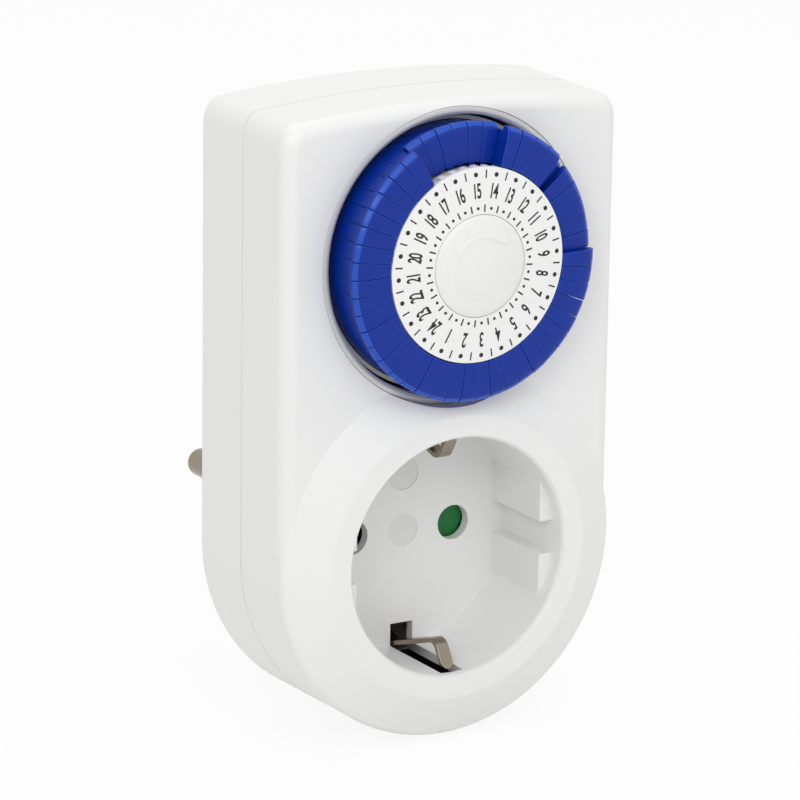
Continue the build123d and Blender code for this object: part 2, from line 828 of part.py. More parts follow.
def motor_can():
    # Drawn cup that closes the motor; its bottom faces the back wall.
    r = motor_r
    t = motor_can_t
    hollow = rod(motor_x, motor_z, r - t, motor_back - t, motor_front - 1)
    cup = rod(motor_x, motor_z, r, motor_back, motor_front) - hollow
    rim = cup.faces().sort_by(Axis.Y)[-1].edges().sort_by(SortBy.LENGTH)[-1:]
    return fillet(rim, t * 0.9)


def pole_plate():
    plate = Circle(motor_r)
    x, z = motor_pinion_place()
    plate = plate - Pos(x - motor_x, z - motor_z) * Circle(arbor_d / 2 + 0.35)
    return prism(Pos(motor_x, motor_z) * plate, motor_front, plate_back)


def motor_gearbox():
    box = rod(motor_x, motor_z, gearbox_r, motor_front + gearbox_t, motor_front)
    x, z = motor_pinion_place()
    deep = motor_front + gearbox_t / 2 + 0.1
    return box - rod(x, z, arbor_d / 2 - 0.1 + run_gap, deep, motor_front - 1)


def bobbin_ends():
    return motor_front + 0.1, motor_back - motor_can_t - 0.1


def coil_bobbin():
    front, back = bobbin_ends()
    t = bobbin_flange
    pts = [(bobbin_r0, front), (bobbin_r1, front), (bobbin_r1, front + t), (bobbin_r0 + t, front + t)]
    pts += [(bobbin_r0 + t, back - t), (bobbin_r1, back - t), (bobbin_r1, back), (bobbin_r0, back)]
    profile = make_face(Polyline(*pts, close=True))
    axis = Axis((motor_x, 0, motor_z), (0, 1, 0))
    return revolve(Pos(motor_x, 0, motor_z) * profile, axis)


def coil_winding():
    front, back = bobbin_ends()
    ring = Circle(bobbin_r1 - 0.7) - Circle(bobbin_r0 + bobbin_flange)
    return prism(Pos(motor_x, motor_z) * ring, back - bobbin_flange, front + bobbin_flange)


def rotor():
    # Ring magnet on a thin shaft whose ends run in the gearbox and in the can.
    front = motor_front + gearbox_t
    back = motor_back - motor_can_t
    magnet = rod(motor_x, motor_z, rotor_r, back - 0.5, front + 0.4)
    return magnet + rod(motor_x, motor_z, 0.6, back - run_gap, front + run_gap)


def switch_plunger():
    # Square follower between the tab legs and the contact leaf, with a wedge-shaped tip.
    z = plunger_z()
    w = plunger_w
    body = Pos(plunger_x, (plunger_tip + plunger_end) / 2, z) * Box(w, plunger_end - plunger_tip, w)
    tip = body.faces().sort_by(Axis.Y)[0].edges().filter_by(Axis.Z)
    return chamfer(tip, w * 0.3)


def moving_contact():
    # Springy leaf held at its lower end, with a silver rivet at the free end.
    h = contact_z() + contact_r + 0.4 - leaf_root_z
    leaf = Pos(plunger_x, leaf_y + leaf_t / 2, leaf_root_z + h / 2) * Box(leaf_w, leaf_t, h)
    return leaf + rod(plunger_x, contact_z(), contact_r, leaf_y + leaf_t + contact_h, leaf_y + leaf_t)


def contact_z():
    return plunger_z() + contact_rise


def fixed_contact():
    # Rivet and bar on the incoming live side.
    y0 = leaf_y + leaf_t + contact_h + contact_gap
    y1 = y0 + contact_h
    rivet = rod(plunger_x, contact_z(), contact_r, y1, y0)
    x_start = plunger_x - contact_r - 0.6
    x_end = live_bar_x() + leaf_w / 2
    place = Pos((x_start + x_end) / 2, y1 + bar_t / 2, contact_z())
    return rivet + place * Box(x_end - x_start, bar_t, leaf_w)


def live_bar_x():
    return pin_x + tulip_r + bar_gap + leaf_w / 2


def contact_back():
    return leaf_y + leaf_t + 2 * contact_h + contact_gap + bar_t


def pin_tag(x):
    # Round tag lying on the riveted end of a pin.
    return rod(x, 0, tulip_r, -pin_root_len, -pin_root_len - tag_t)


def live_in_bar():
    # From the live pin up behind the contacts, where the fixed contact stands on it.
    y_tag = -pin_root_len - tag_t / 2
    y_top = contact_back() + bar_t / 2
    post_t = 0.9
    post_x0 = pin_x + tulip_r + bar_gap
    foot_w = post_x0 + post_t - pin_x
    foot = Pos(pin_x + foot_w / 2, y_tag, 0) * Box(foot_w, tag_t, leaf_w)
    post_len = abs(y_top - y_tag) + tag_t / 2 + bar_t / 2
    post_y = (y_tag + tag_t / 2 + y_top - bar_t / 2) / 2
    post = Pos(post_x0 + post_t / 2, post_y, 0) * Box(post_t, post_len, leaf_w)
    rail_top = contact_z() + leaf_w / 2
    rail_h = rail_top + leaf_w / 2
    rail = Pos(live_bar_x(), y_top, rail_top - rail_h / 2) * Box(leaf_w, bar_t, rail_h)
    return pin_tag(pin_x) + foot + post + rail


def tulip(x):
    # Sprung tube that grips the pin of the plug put into the socket.
    tube = Circle(tulip_r) - Circle(pin_d / 2 + run_gap)
    slit = Rectangle(0.8, 3 * tulip_r)
    root = tulip_base - tulip_base_t
    sprung = prism(Pos(x, 0) * (tube - slit), root - 1.5, tulip_mouth)
    sleeve = prism(Pos(x, 0) * tube, root, root - 1.5)
    return sprung + sleeve + rod(x, 0, tulip_r, tulip_base, root)


def live_out_bar():
    # Socket contact on the live side, with a strip that carries the moving contact leaf.
    y = tulip_base - tulip_base_t / 2
    strip_mid = leaf_y + leaf_t + bar_t / 2
    riser_z = boss_hollow_r - 3.1
    x0 = plunger_x
    low_w = pin_x - x0 + leaf_w
    low = Pos(x0 - leaf_w / 2 + low_w / 2, y, 0) * Box(low_w, tulip_base_t, leaf_w)
    up_h = riser_z + leaf_w / 2
    up = Pos(x0, y, up_h / 2 - leaf_w / 2) * Box(leaf_w, tulip_base_t, up_h)
    riser_len = abs(strip_mid - y) + (tulip_base_t + bar_t) / 2
    riser_y = (y + strip_mid + (tulip_base_t - bar_t) / 2) / 2
    riser = Pos(x0, riser_y, riser_z - bar_t / 2) * Box(leaf_w, riser_len, bar_t)
    z_top = leaf_root_z + 1.7
    top_h = z_top - riser_z + bar_t
    top = Pos(x0, strip_mid, z_top - top_h / 2) * Box(leaf_w, bar_t, top_h)
    return tulip(pin_x) + low + up + riser + top


def neutral_contact():
    # Socket contact on the neutral side, its tail reaching the riveted pin.
    tail = rod(-pin_x, 0, pin_root_d / 2, -pin_root_len - tag_t, tulip_base - tulip_base_t)
    return tulip(-pin_x) + tail + pin_tag(-pin_x)


def housing_screws():
    out = []
    for x, z in housing_posts():
        head_y = back_y - screw_sink
        head = rod(x, z, screw_head_r, head_y + screw_head_h, head_y)
        slot = Pos(x, head_y + screw_head_h, z) * Box(2 * screw_head_r + 1, 1.2, 0.7)
        out.append(head - slot + rod(x, z, screw_r, head_y + 0.1, head_y - screw_len))
    return out


def chassis_screws():
    out = []
    for x, z in pillars():
        head = rod(x, z, small_head_r, plate_y, plate_y - small_head_h)
        slot = Pos(x, plate_y - small_head_h, z) * Box(2 * small_head_r + 1, 0.7, 0.5)
        out.append(head - slot + rod(x, z, small_screw_r, plate_y + small_screw_len, plate_y - 0.1))
    return out


def trim_ring():
    # Silver-coloured ring let into the front face round the dial, its face sloping inwards.
    pts = [(ring_inner_r, face_y + 0.5), (ring_inner_r + 0.3, face_y + 0.35), (ring_r - 0.3, face_y)]
    pts += [(ring_r, face_y + 0.25), (ring_r, face_y + ring_t), (ring_inner_r, face_y + ring_t)]
    return turned(pts, dial_z)


def save(node, shape):
    if isinstance(shape, (list, tuple)):
        solids = [s for item in shape for s in item.solids()]
        shape = Compound(children=solids)
    export_step(shape, "parts/" + node + ".step")


def main():
    os.makedirs("parts", exist_ok=True)
    save("front_shell", front_shell())
    save("back_shell", back_shell())
    save("plug_boss", plug_boss())
    save("trim_ring", trim_ring())
    save("plug_pins", plug_pins())
    save("earth_bow", earth_bow())
    save("plug_earth_clips", plug_earth_clips())
    save("shutter", shutter())
    save("shutter_cover", shutter_cover())
    save("shutter_spring", shutter_spring())
    save("dial_carrier", dial_carrier())
    save("dial_face", dial_face())
    save("centre_cap", centre_cap())
    save("dial_gear", dial_gear())
    save("dial_axle", dial_axle())
    for first, count, pressed in tab_levels():
        save("tabs_%02d" % first, tab_group(first, count, pressed))
    save("setting_pinion", setting_pinion())
    save("clutch_spring", clutch_spring())
    save("transfer_wheel", transfer_wheel())
    save("transfer_arbor", transfer_arbor())
    save("motor_pinion", motor_pinion())
    save("chassis_plate", chassis_plate())
    save("motor_can", motor_can())
    save("pole_plate", pole_plate())
    save("motor_gearbox", motor_gearbox())
    save("coil_bobbin", coil_bobbin())
    save("coil_winding", coil_winding())
    save("rotor", rotor())
    save("switch_plunger", switch_plunger())
    save("moving_contact", moving_contact())
    save("fixed_contact", fixed_contact())
    save("live_in_bar", live_in_bar())
    save("live_out_bar", live_out_bar())
    save("neutral_contact", neutral_contact())
    save("housing_screws", housing_screws())
    save("chassis_screws", chassis_screws())


main()
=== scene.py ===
import json
import math
import bmesh
import bpy
from mathutils import Matrix, Vector


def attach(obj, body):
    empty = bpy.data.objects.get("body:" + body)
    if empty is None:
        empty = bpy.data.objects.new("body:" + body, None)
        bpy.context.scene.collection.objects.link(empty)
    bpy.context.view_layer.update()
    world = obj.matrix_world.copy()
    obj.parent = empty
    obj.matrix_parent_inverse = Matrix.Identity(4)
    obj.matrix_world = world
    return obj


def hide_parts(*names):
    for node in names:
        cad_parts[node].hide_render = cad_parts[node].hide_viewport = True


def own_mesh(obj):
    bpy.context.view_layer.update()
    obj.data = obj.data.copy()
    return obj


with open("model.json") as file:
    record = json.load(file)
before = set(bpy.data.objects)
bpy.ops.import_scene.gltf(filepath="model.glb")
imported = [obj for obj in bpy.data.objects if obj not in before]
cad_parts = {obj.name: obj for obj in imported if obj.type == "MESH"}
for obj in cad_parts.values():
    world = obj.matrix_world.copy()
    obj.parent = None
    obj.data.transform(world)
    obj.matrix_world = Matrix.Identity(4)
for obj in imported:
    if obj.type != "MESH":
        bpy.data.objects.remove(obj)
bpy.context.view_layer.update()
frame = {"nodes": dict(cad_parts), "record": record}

# ---------------------------------------------------------------------------
# Studio: a plain pale floor under the timer, a white room and soft panels of
# light. The camera stands to the left of the timer and a little above it.

MM = 0.001
scene = bpy.context.scene


def linear(hex_colour):
    """An sRGB hex colour as the linear red, green, blue, alpha that shaders take."""
    value = hex_colour.lstrip("#")
    channels = [int(value[i:i + 2], 16) / 255 for i in (0, 2, 4)]
    out = [c / 12.92 if c <= 0.04045 else ((c + 0.055) / 1.055) ** 2.4 for c in channels]
    return (*out, 1.0)


def add_node(tree, kind, settings=None, links=None):
    """Adds one shader node, sets its properties and inputs, and links its inputs."""
    node = tree.nodes.new(kind)
    for key, value in (settings or {}).items():
        if isinstance(key, str) and hasattr(node, key):
            setattr(node, key, value)
        else:
            node.inputs[key].default_value = value
    for key, output in (links or {}).items():
        tree.links.new(output, node.inputs[key])
    return node


def start_material(name):
    """An empty node material of that name."""
    material = bpy.data.materials.new(name)
    material.use_nodes = True
    material.node_tree.nodes.clear()
    return material, material.node_tree


def aim(obj, place, target):
    """Stands a lamp at a place and turns it to a target."""
    obj.location = place
    obj.rotation_euler = (Vector(target) - Vector(place)).to_track_quat("-Z", "Y").to_euler()


def background_rays(tree):
    """One where a ray shows the white background: to the camera, in a sheen or through glass."""
    rays = add_node(tree, "ShaderNodeLightPath")
    sheen = add_node(tree, "ShaderNodeMath", {"operation": "MAXIMUM"},
                     {0: rays.outputs["Is Camera Ray"], 1: rays.outputs["Is Glossy Ray"]})
    return add_node(tree, "ShaderNodeMath", {"operation": "MAXIMUM"},
                    {0: sheen.outputs[0], 1: rays.outputs["Is Transmission Ray"]})


# A long lens two thirds of a metre off, turned 31 degrees round and 15 down.
yaw, pitch, roll = (math.radians(a) for a in (31.223, 14.998, 0.868))
ahead = Vector((math.sin(yaw) * math.cos(pitch), math.cos(yaw) * math.cos(pitch), -math.sin(pitch)))
level = Vector((math.cos(yaw), -math.sin(yaw), 0))
upright = level.cross(ahead)
right = level * math.cos(roll) + upright * math.sin(roll)
above = upright * math.cos(roll) - level * math.sin(roll)
camera_data = bpy.data.cameras.new("camera")
camera_data.lens = 198.23
camera_data.sensor_width = 36
camera_data.clip_start = 0.05
camera = bpy.data.objects.new("camera", camera_data)
turn = Matrix((right, above, -ahead)).transposed().to_4x4()
camera.matrix_world = Matrix.Translation((-0.354617, -0.617030, 0.204690)) @ turn
scene.collection.objects.link(camera)
scene.camera = camera
scene.view_settings.view_transform = "Standard"

LIT_POINT = (0.0, -0.03, 0.02)
for name, place, size, watts in (
    ("window_left", (-0.75, -0.75, 0.6), 0.4, 2.3),
    ("window_front", (-0.1, -0.95, 0.85), 0.9, 3.05),
    ("window_right", (0.95, -0.35, 0.35), 0.7, 0.4),
    ("window_top", (0.0, 0.15, 1.1), 0.9, 3.2),
):
    lamp_data = bpy.data.lights.new(name, "AREA")
    lamp_data.shape = "SQUARE"
    lamp_data.size = size
    lamp_data.energy = watts
    lamp = bpy.data.objects.new(name, lamp_data)
    aim(lamp, place, LIT_POINT)
    scene.collection.objects.link(lamp)

# The room lights the timer at a little over half strength, and shows as white.
ROOM_LIGHT = 0.58
world = bpy.data.worlds.new("room")
scene.world = world
world.use_nodes = True
room = world.node_tree
room.nodes.clear()
seen = background_rays(room)
strength = add_node(room, "ShaderNodeMapRange", {"To Min": ROOM_LIGHT, "To Max": 1.0},
                    {"Value": seen.outputs[0]})
glow = add_node(room, "ShaderNodeBackground", {"Color": linear("#FFFFFF")},
                {"Strength": strength.outputs["Result"]})
add_node(room, "ShaderNodeOutputWorld", None, {"Surface": glow.outputs[0]})

FLOOR_Z = -31.2
floor_mesh = bmesh.new()
bmesh.ops.create_grid(floor_mesh, x_segments=1, y_segments=1, size=3.0)
bmesh.ops.translate(floor_mesh, verts=floor_mesh.verts, vec=(0, 0, FLOOR_Z * MM))
floor_data = bpy.data.meshes.new("floor")
floor_mesh.to_mesh(floor_data)
floor_mesh.free()
floor = bpy.data.objects.new("floor", floor_data)
scene.collection.objects.link(floor)
paper, tree = start_material("pale_studio_paper")
lit = add_node(tree, "ShaderNodeBsdfDiffuse", {"Color": linear("#F4F4F4")})
clean = add_node(tree, "ShaderNodeEmission", {"Color": linear("#FFFFFF"), "Strength": 1.0})
seen = background_rays(tree)
mix = add_node(tree, "ShaderNodeMixShader", {0: 0.9}, {1: lit.outputs[0], 2: clean.outputs[0]})
pick = add_node(tree, "ShaderNodeMixShader", None,
                {0: seen.outputs[0], 1: lit.outputs[0], 2: mix.outputs[0]})
add_node(tree, "ShaderNodeOutputMaterial", None, {"Surface": pick.outputs[0]})
floor_data.materials.append(paper)

# ---------------------------------------------------------------------------
# Front housing: the white front half, moulded in ABS with a satin gloss. One
# shot makes the drafted walls, the funnel rim of the socket, its cup with side
# blocks and clip slots, and the round well for the dial. All sizes are in mm.

SOCKET_R = 19.5
BODY_R = 30.85
BODY_TOP = 73.73
CROWN_R = 231.0
CORNER_R = 3.9
DRAFT = math.tan(math.radians(1))
WALL = 2.2
CAVITY_DEPTH = 21.7
BACK_Y = -22.0
FACE_Y = -47.7
SEAM_Y = -34.8
RIM_Y = -51.0
FLOOR_Y = -33.5
DIAL_Z = 48.4
CUP_R = 21.1
BEZEL_R = 30.52
WELL_R = 23.78
PIN_X = 9.5
MARK_DEPTH = 0.16


def solid(name, bm):
    """Makes a closed bmesh into an object, with its doubles merged and faces outwards."""
    bmesh.ops.remove_doubles(bm, verts=bm.verts, dist=0.0005)
    bmesh.ops.recalc_face_normals(bm, faces=bm.faces)
    mesh = bpy.data.meshes.new(name)
    bmesh.ops.scale(bm, vec=(MM, MM, MM), verts=bm.verts)
    bm.to_mesh(mesh)
    bm.free()
    obj = bpy.data.objects.new(name, mesh)
    scene.collection.objects.link(obj)
    return obj


def carve(body, tool, operation):
    """Joins a tool solid to a body or cuts it away, and removes the tool."""
    step = body.modifiers.new(operation.lower(), "BOOLEAN")
    step.operation = operation
    step.solver = "EXACT"
    step.object = tool
    shown = body.evaluated_get(bpy.context.evaluated_depsgraph_get())
    mesh = bpy.data.meshes.new_from_object(shown)
    body.modifiers.clear()
    old = body.data
    body.data = mesh
    bpy.data.meshes.remove(old)
    old = tool.data
    bpy.data.objects.remove(tool)
    bpy.data.meshes.remove(old)


def smooth(obj, angle=32):
    """Smooth shading that keeps edges steeper than the angle sharp and flats flat."""
    obj.data.shade_smooth()
    obj.data.set_sharp_from_angle(angle=math.radians(angle))
    weigh = obj.modifiers.new("flat faces stay flat", "WEIGHTED_NORMAL")
    weigh.keep_sharp = True
    weigh.weight = 90


def house_outline(bm, inset, y):
    """A closed wire at one depth: half round below, upright sides, slightly arched top."""
    old = set(bm.verts)
    r = BODY_R - inset
    arch = CROWN_R - inset
    lift = BODY_TOP - CROWN_R
    side_top = lift + math.sqrt(arch * arch - r * r)
    corner = bm.verts.new((r, y, 0))
    bmesh.ops.spin(bm, geom=[corner], cent=(0, y, 0), axis=(0, 1, 0), angle=math.pi, steps=96)
    shoulder = bm.verts.new((r, y, side_top))
    bmesh.ops.spin(bm, geom=[shoulder], cent=(0, y, lift), axis=(0, 1, 0),
                   angle=-2 * math.asin(r / arch), steps=24)
    ends = [v for v in bm.verts if v not in old and len(v.link_edges) == 1]
    low = sorted((v for v in ends if v.co.z < 1), key=lambda v: v.co.x)
    high = sorted((v for v in ends if v.co.z > 1), key=lambda v: v.co.x)
    for pair in zip(low, high):
        bm.edges.new(pair)
    bmesh.ops.bevel(bm, geom=high, offset=max(CORNER_R - inset, 0.8), segments=8, profile=0.5,
                    affect="VERTICES", material=-1)
    return [e for e in bm.edges if not old.intersection(e.verts)]


def drafted_block(inset, y_back, depth, rounding=0.0):
    """The outline drawn forwards, narrowing by one degree, its front rim rounded."""
    bm = bmesh.new()
    levels = [(0.0, 0.0), (depth - rounding, 0.0)]
    steps = 8 if rounding else 0
    for i in range(steps):
        angle = math.pi / 2 * (i + 1) / steps
        levels.append((depth - rounding * (1 - math.sin(angle)), rounding * (1 - math.cos(angle))))
    loops = [house_outline(bm, inset + forward * DRAFT + eased, y_back - forward)
             for forward, eased in levels]
    for back, front in zip(loops, loops[1:]):
        bmesh.ops.bridge_loops(bm, edges=back + front)
    for loop in (loops[0], loops[-1]):
        bmesh.ops.edgeloop_fill(bm, edges=loop)
    return bm


def keep_half(bm, y, keep_front):
    """Cuts a block at the seam, keeps one half and closes it."""
    bmesh.ops.bisect_plane(bm, geom=bm.verts[:] + bm.edges[:] + bm.faces[:], dist=0.0001,
                           plane_co=(0, y, 0), plane_no=(0, 1, 0),
                           clear_outer=keep_front, clear_inner=not keep_front)
    bmesh.ops.edgeloop_fill(bm, edges=[e for e in bm.edges if e.is_boundary])


def turned(name, profile, x=0.0, z=0.0, steps=128):
    """Spins a wire profile of (radius, y, rounding) points into a closed solid."""
    bm = bmesh.new()
    ring = [bm.verts.new((x + p[0], p[1], z)) for p in profile]
    for a, b in zip(ring, ring[1:]):
        bm.edges.new((a, b))
    if profile[0][0] > 0:
        bm.edges.new((ring[-1], ring[0]))
    for vert, point in zip(ring, profile):
        if len(point) > 2:
            bmesh.ops.bevel(bm, geom=[vert], offset=point[2], segments=4, profile=0.5,
                            affect="VERTICES", material=-1)
    bmesh.ops.spin(bm, geom=bm.verts[:] + bm.edges[:], cent=(x, 0, z), axis=(0, 1, 0),
                   angle=2 * math.pi, steps=steps, use_merge=True)
    return solid(name, bm)


def block(name, low, high, rounding=0.0):
    """A box between two corners, its edges eased."""
    bm = bmesh.new()
    bmesh.ops.create_cube(bm, size=1.0)
    size = [b - a for a, b in zip(low, high)]
    bmesh.ops.scale(bm, vec=size, verts=bm.verts)
    bmesh.ops.translate(bm, vec=[(a + b) / 2 for a, b in zip(low, high)], verts=bm.verts)
    if rounding:
        bmesh.ops.bevel(bm, geom=bm.edges[:], offset=rounding, segments=3, profile=0.5,
                        affect="EDGES", material=-1)
    return solid(name, bm)


def rod(name, x, z, radius, y_low, y_high, steps=48):
    """A plain fore-and-aft cylinder."""
    return turned(name, [(0, y_low), (radius, y_low), (radius, y_high), (0, y_high)], x, z, steps)


front_bm = drafted_block(0.0, BACK_Y, BACK_Y - FACE_Y, 2.5)
keep_half(front_bm, SEAM_Y, True)
rim = [e for e in front_bm.edges if all(abs(v.co.y - SEAM_Y) < 0.001 for v in e.verts)]
bmesh.ops.bevel(front_bm, geom=rim, offset=0.12, segments=2, profile=0.5, affect="EDGES",
                material=-1)
front_housing = solid("front_housing", front_bm)
carve(front_housing, turned("bezel", [(0, -37), (BEZEL_R, -37), (BEZEL_R, FACE_Y + 0.25, 0.9),
      (23.3, RIM_Y, 0.35), (0, RIM_Y)], steps=192), "UNION")
carve(front_housing, solid("cavity", drafted_block(WALL, BACK_Y - 2, CAVITY_DEPTH)), "DIFFERENCE")
carve(front_housing, rod("cup", 0, 0, CUP_R, FACE_Y - 0.5, -31.7, 128), "UNION")
for side in (1, -1):
    low, high = sorted((side * 20.3, side * 23.0))
    carve(front_housing, block("ear", (-3.6, FACE_Y - 0.6, low), (3.6, -31.6, high)), "UNION")
collar = rod("collar", 0, DIAL_Z, 25.05, FACE_Y + 0.5, FACE_Y + 3.7, 128)
carve(collar, solid("inside", drafted_block(0.02, BACK_Y, 25.68, 2.5)), "INTERSECT")
carve(front_housing, collar, "UNION")
carve(front_housing, turned("recess", [(0, -54), (20.05, -54), (20.05, RIM_Y - 0.1, 0.1),
      (SOCKET_R, RIM_Y + 0.55, 0.35), (SOCKET_R, FLOOR_Y, 0.15), (0, FLOOR_Y)], steps=192),
      "DIFFERENCE")
for side in (1, -1):
    for half in (1, -1):
        low, high = sorted((side * 17.0, side * 21.0))
        z_low, z_high = sorted((half * 2.7, half * 9.55))
        key = block("key", (low, RIM_Y + 3.1, z_low), (high, FLOOR_Y + 0.3, z_high), 0.25)
        carve(key, rod("key_round", 0, 0, 20.2, RIM_Y, FLOOR_Y + 1, 128), "INTERSECT")
        carve(front_housing, key, "UNION")
    low, high = sorted((side * 15.65, side * 20.95))
    carve(front_housing, block("slot", (-2.1, RIM_Y + 1.7, low), (2.1, -31.0, high)), "DIFFERENCE")
    low, high = sorted((side * 20.85, side * 22.7))
    carve(front_housing, block("chamber", (-3.2, RIM_Y + 1.9, low), (3.2, -32, high)), "DIFFERENCE")
    carve(front_housing, rod("pin_hole", side * PIN_X, 0, 2.9, FLOOR_Y - 1, -31.0), "DIFFERENCE")
for z in (0, 9.5):
    mark = rod("ejector_mark", 0, z, 2.75, FLOOR_Y - 1, FLOOR_Y + MARK_DEPTH)
    carve(front_housing, mark, "DIFFERENCE")
carve(front_housing, turned("well", [(0, -60), (WELL_R, -60), (WELL_R, FACE_Y + 1.5),
      (22.4, FACE_Y + 1.5), (22.4, FACE_Y + 4.7), (0, FACE_Y + 4.7)], z=DIAL_Z), "DIFFERENCE")
welded = bmesh.new()
welded.from_mesh(front_housing.data)
bmesh.ops.remove_doubles(welded, verts=welded.verts, dist=0.002 * MM)
welded.to_mesh(front_housing.data)
welded.free()


def moulded_white(name, colour, rough):
    """ABS from a polished mould: a soft sheen with a grain that only just shows.

    The real grain is finer than a tenth of a millimetre. It is drawn about one
    millimetre wide (900 to the metre), and the gloss drifts over 35 mm.
    """
    material, tree = start_material(name)
    place = add_node(tree, "ShaderNodeTexCoord")
    grain = add_node(tree, "ShaderNodeTexNoise", {"Scale": 900.0, "Detail": 2.0},
                     {"Vector": place.outputs["Object"]})
    cloud = add_node(tree, "ShaderNodeTexNoise", {"Scale": 28.0, "Detail": 2.0},
                     {"Vector": place.outputs["Object"]})
    dull = add_node(tree, "ShaderNodeMapRange", {"To Min": rough - 0.04, "To Max": rough + 0.05},
                    {"Value": cloud.outputs["Fac"]})
    bump = add_node(tree, "ShaderNodeBump", {"Strength": 0.035, "Distance": 0.0001},
                    {"Height": grain.outputs["Fac"]})
    plastic = add_node(tree, "ShaderNodeBsdfPrincipled",
                       {"Base Color": linear(colour), "IOR": 1.53},
                       {"Roughness": dull.outputs["Result"], "Normal": bump.outputs["Normal"]})
    add_node(tree, "ShaderNodeOutputMaterial", None, {"Surface": plastic.outputs[0]})
    return material


white_abs = moulded_white("moulded_white_abs", "#EDEDEC", 0.36)
# Near-black for painted shade on the walls of the dial well and the clip chambers.
painted_shade_black = moulded_white("well_painted_shade_black", "#0A0A0C", 0.5)
mark_white = moulded_white("ejector_mark_white", "#E5E5E5", 0.5)
front_housing.data.materials.clear()
front_housing.data.materials.append(white_abs)
front_housing.data.materials.append(painted_shade_black)
front_housing.data.materials.append(mark_white)
# The dial well's walls and the clip chambers are coloured near-black: painted shade for the dark
# inside of the housing that they open into.
for face in front_housing.data.polygons:
    face.material_index = 0
    spot = face.center / MM
    if math.hypot(spot.x, spot.z - DIAL_Z) < 22.6 and spot.y > FACE_Y + 1.2:
        face.material_index = 1
    if abs(spot.x) < 3.3 and 20.9 < abs(spot.z) < 22.75 and RIM_Y + 1.85 < spot.y < -31.9:
        face.material_index = 1
    if abs(spot.y - FLOOR_Y - MARK_DEPTH) < 0.01 and abs(spot.x) < 3 and -3 < spot.z < 13:
        face.material_index = 2
smooth(front_housing)
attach(front_housing, "housing")
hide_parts("front_shell")

# ---------------------------------------------------------------------------
# Back housing: the white rear half, moulded in the same ABS, with four deep
# screw holes and a round opening for the plug boss. It meets the front half in
# a fine shadow line.

POST_X, POST_Z, POST_LOW = 23.9, 66.4, 25.0 * math.sqrt(0.5)
screw_places = [(-POST_X, POST_Z), (POST_X, POST_Z), (-POST_LOW, -POST_LOW), (POST_LOW, -POST_LOW)]
back_bm = drafted_block(0.0, BACK_Y, BACK_Y - FACE_Y)
keep_half(back_bm, SEAM_Y, False)
rim = [e for e in back_bm.edges if all(abs(v.co.y - BACK_Y) < 0.001 for v in e.verts)]
bmesh.ops.bevel(back_bm, geom=rim, offset=0.4, segments=3, profile=0.5, affect="EDGES", material=-1)
back_housing = solid("back_housing", back_bm)
lip = drafted_block(-1.0, SEAM_Y + 0.3, 1.0)
lip_tool = solid("seam_groove", lip)
carve(lip_tool, solid("seam_core", drafted_block(0.4, SEAM_Y + 1.0, 3.0)), "DIFFERENCE")
carve(back_housing, lip_tool, "DIFFERENCE")
cavity = solid("cavity", drafted_block(WALL, BACK_Y - 2, CAVITY_DEPTH))
for x, z in screw_places:
    carve(cavity, rod("post", x, z, 3.4, -33.0, BACK_Y + 1), "DIFFERENCE")
carve(back_housing, cavity, "DIFFERENCE")
carve(back_housing, rod("opening", 0, 0, 15.15, BACK_Y - 3, BACK_Y + 1, 96), "DIFFERENCE")
for side in (1, -1):
    low, high = sorted((side * 15.6, side * 16.8))
    carve(back_housing, block("slit", (-2.4, -25, low), (2.4, -21, high)), "DIFFERENCE")
for x, z in screw_places:
    carve(back_housing, turned("sink", [(0, -34), (1.6, -34), (1.6, -27), (2.9, -27),
          (2.9, BACK_Y + 1), (0, BACK_Y + 1)], x, z, 40), "DIFFERENCE")
back_housing.data.materials.clear()
back_housing.data.materials.append(white_abs)
for face in back_housing.data.polygons:
    face.material_index = 0
smooth(back_housing)
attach(back_housing, "housing")
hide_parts("back_shell")

# ---------------------------------------------------------------------------
# Plug boss: the white moulded body of the plug, with its side flats and guide
# grooves and a channel for each earth strip. A spigot seats it in the back.

boss = turned("plug_boss", [(0, BACK_Y - 2.2), (15.1, BACK_Y - 2.2), (15.1, BACK_Y), (18.6, BACK_Y),
              (18.6, 0, 0.7), (0, 0)], steps=128)
for side in (1, -1):
    low, high = sorted((side * 16.5, side * 20.0))
    carve(boss, block("flat", (low, BACK_Y - 1, -20), (high, 1, 20)), "DIFFERENCE")
    low, high = sorted((side * 15.3, side * 20.0))
    carve(boss, block("guide", (low, BACK_Y - 1, -2.8), (high, 1, 2.8)), "DIFFERENCE")
    low, high = sorted((side * 15.7, side * 20.0))
    carve(boss, block("groove", (-2.7, BACK_Y - 1, low), (2.7, 1, high)), "DIFFERENCE")
carve(boss, rod("hollow", 0, 0, 14.2, BACK_Y - 3, -2.5, 96), "DIFFERENCE")
carve(boss, block("passage", (-2.7, BACK_Y - 3, -20), (2.7, BACK_Y - 1, 20)), "DIFFERENCE")
for side in (1, -1):
    carve(boss, rod("root_hole", side * PIN_X, 0, 1.85, -4, 1, 32), "DIFFERENCE")
boss.data.materials.clear()
boss.data.materials.append(white_abs)
for face in boss.data.polygons:
    face.material_index = 0
smooth(boss)
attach(boss, "housing")
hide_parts("plug_boss")

# ---------------------------------------------------------------------------
# Trim ring: a thin moulded ring with a silver metallic finish, let into the
# face round the dial. Its face slopes a little towards the dial.

trim_ring = turned("silver_ring", [(22.5, FACE_Y + 0.3, 0.12), (23.0, FACE_Y, 0.12),
                   (23.7, FACE_Y + 0.05, 0.1), (23.7, FACE_Y + 1.5), (22.5, FACE_Y + 1.5)],
                   z=DIAL_Z, steps=192)
